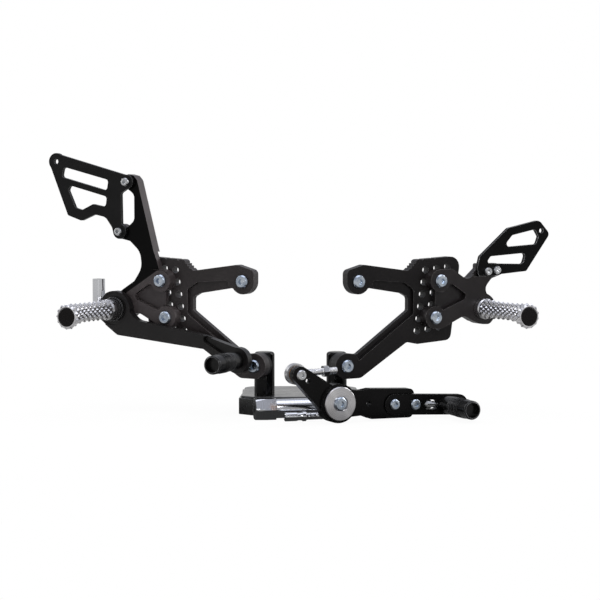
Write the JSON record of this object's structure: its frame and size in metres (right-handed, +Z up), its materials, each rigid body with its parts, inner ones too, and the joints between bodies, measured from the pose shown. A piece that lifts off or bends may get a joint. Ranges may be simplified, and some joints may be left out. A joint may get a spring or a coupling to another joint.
{
  "type": "rear sets footrest",
  "caption": "Pair of machined motorbike rear sets on a display base: brackets, peg carriers, heel guards, grooved foot pegs, brake pedal, and a shift lever with rod end.",
  "frame": {"origin": "centre of the underside of the base block, on the surface it stands on", "axes": "+X to the right of the picture, along the pair's width; +Y away from the viewer; +Z up"},
  "size_m": [0.5087, 0.172, 0.2569],
  "materials": {
    "base_gloss": "gloss black",
    "black_anodised": "satin black anodised",
    "guard_black": "satin black anodised",
    "zinc_steel": "bright zinc plated",
    "bright_steel": "polished",
    "bright_aluminium": "clear anodised, turned",
    "cap_satin": "satin",
    "toe_black": "satin black anodised",
    "bronze": "sintered"
  },
  "bodies": {
    "rear_set": {"base_block": "base_gloss", "left_post": "black_anodised", "right_post": "black_anodised", "left_spacer": "black_anodised", "right_spacer": "black_anodised", "left_frame_bracket": "black_anodised", "right_frame_bracket": "black_anodised", "left_frame_bolts": "zinc_steel", "right_frame_bolts": "zinc_steel", "left_peg_carrier": "black_anodised", "right_peg_carrier": "black_anodised", "left_carrier_bolts": "zinc_steel", "right_carrier_bolts": "zinc_steel", "left_heel_guard": "guard_black", "right_heel_guard": "guard_black", "left_guard_bolts": "bright_steel", "right_guard_bolts": "bright_steel", "left_foot_peg": "bright_aluminium", "right_foot_peg": "bright_aluminium", "left_peg_cap": "cap_satin", "right_peg_cap": "cap_satin", "left_peg_bolt": "zinc_steel", "right_peg_bolt": "zinc_steel", "pedal_washer": "cap_satin", "pivot_sleeve": "bright_steel", "hub_disc": "bright_aluminium", "pivot_bolt": "zinc_steel", "extension_bar": "bright_aluminium", "adjuster_rod": "bright_steel"},
    "brake_pedal": {"brake_pedal": "black_anodised", "pedal_bush": "bronze", "brake_toe_peg": "toe_black", "brake_toe_bolt": "bright_steel"},
    "fork": {"push_rod_fork": "bright_steel", "fork_pin": "zinc_steel"},
    "shift_lever": {"shift_lever": "black_anodised", "front_hub_bearing": "bright_steel", "rear_hub_bearing": "bright_steel", "shift_extension": "black_anodised", "extension_bolts": "zinc_steel", "shift_toe_peg": "toe_black", "shift_toe_bolt": "bright_steel", "toe_clamp_screw": "bright_steel", "rod_end_ball": "bright_steel", "rod_end_bolt": "zinc_steel", "rod_end_nut": "zinc_steel"},
    "rod_end": {"rod_end_housing": "bright_steel", "rod_end_race": "bronze", "lock_nut": "zinc_steel"}
  },
  "joints": [
    {"name": "brake_pedal_hinge", "type": "hinge", "parent": "rear_set", "child": "brake_pedal", "pos_m": [-0.18413, -0.00094, 0.101], "axis": [0.4226, 0.9063, 0], "range_deg": [0, 10]},
    {"name": "fork_hinge", "type": "hinge", "parent": "brake_pedal", "child": "fork", "pos_m": [-0.20225, 0.00751, 0.0985], "axis": [0.4226, 0.9063, 0], "range_deg": [-12, 12]},
    {"name": "shift_lever_hinge", "type": "hinge", "parent": "rear_set", "child": "shift_lever", "pos_m": [0.03374, -0.09966, 0.0188], "axis": [0.4226, -0.9063, 0], "range_deg": [0, 24]},
    {"name": "rod_end_hinge", "type": "hinge", "parent": "shift_lever", "child": "rod_end", "pos_m": [-0.00474, -0.10822, 0.0471], "axis": [0.4226, -0.9063, 0], "range_deg": [-4, 25]}
  ]
}
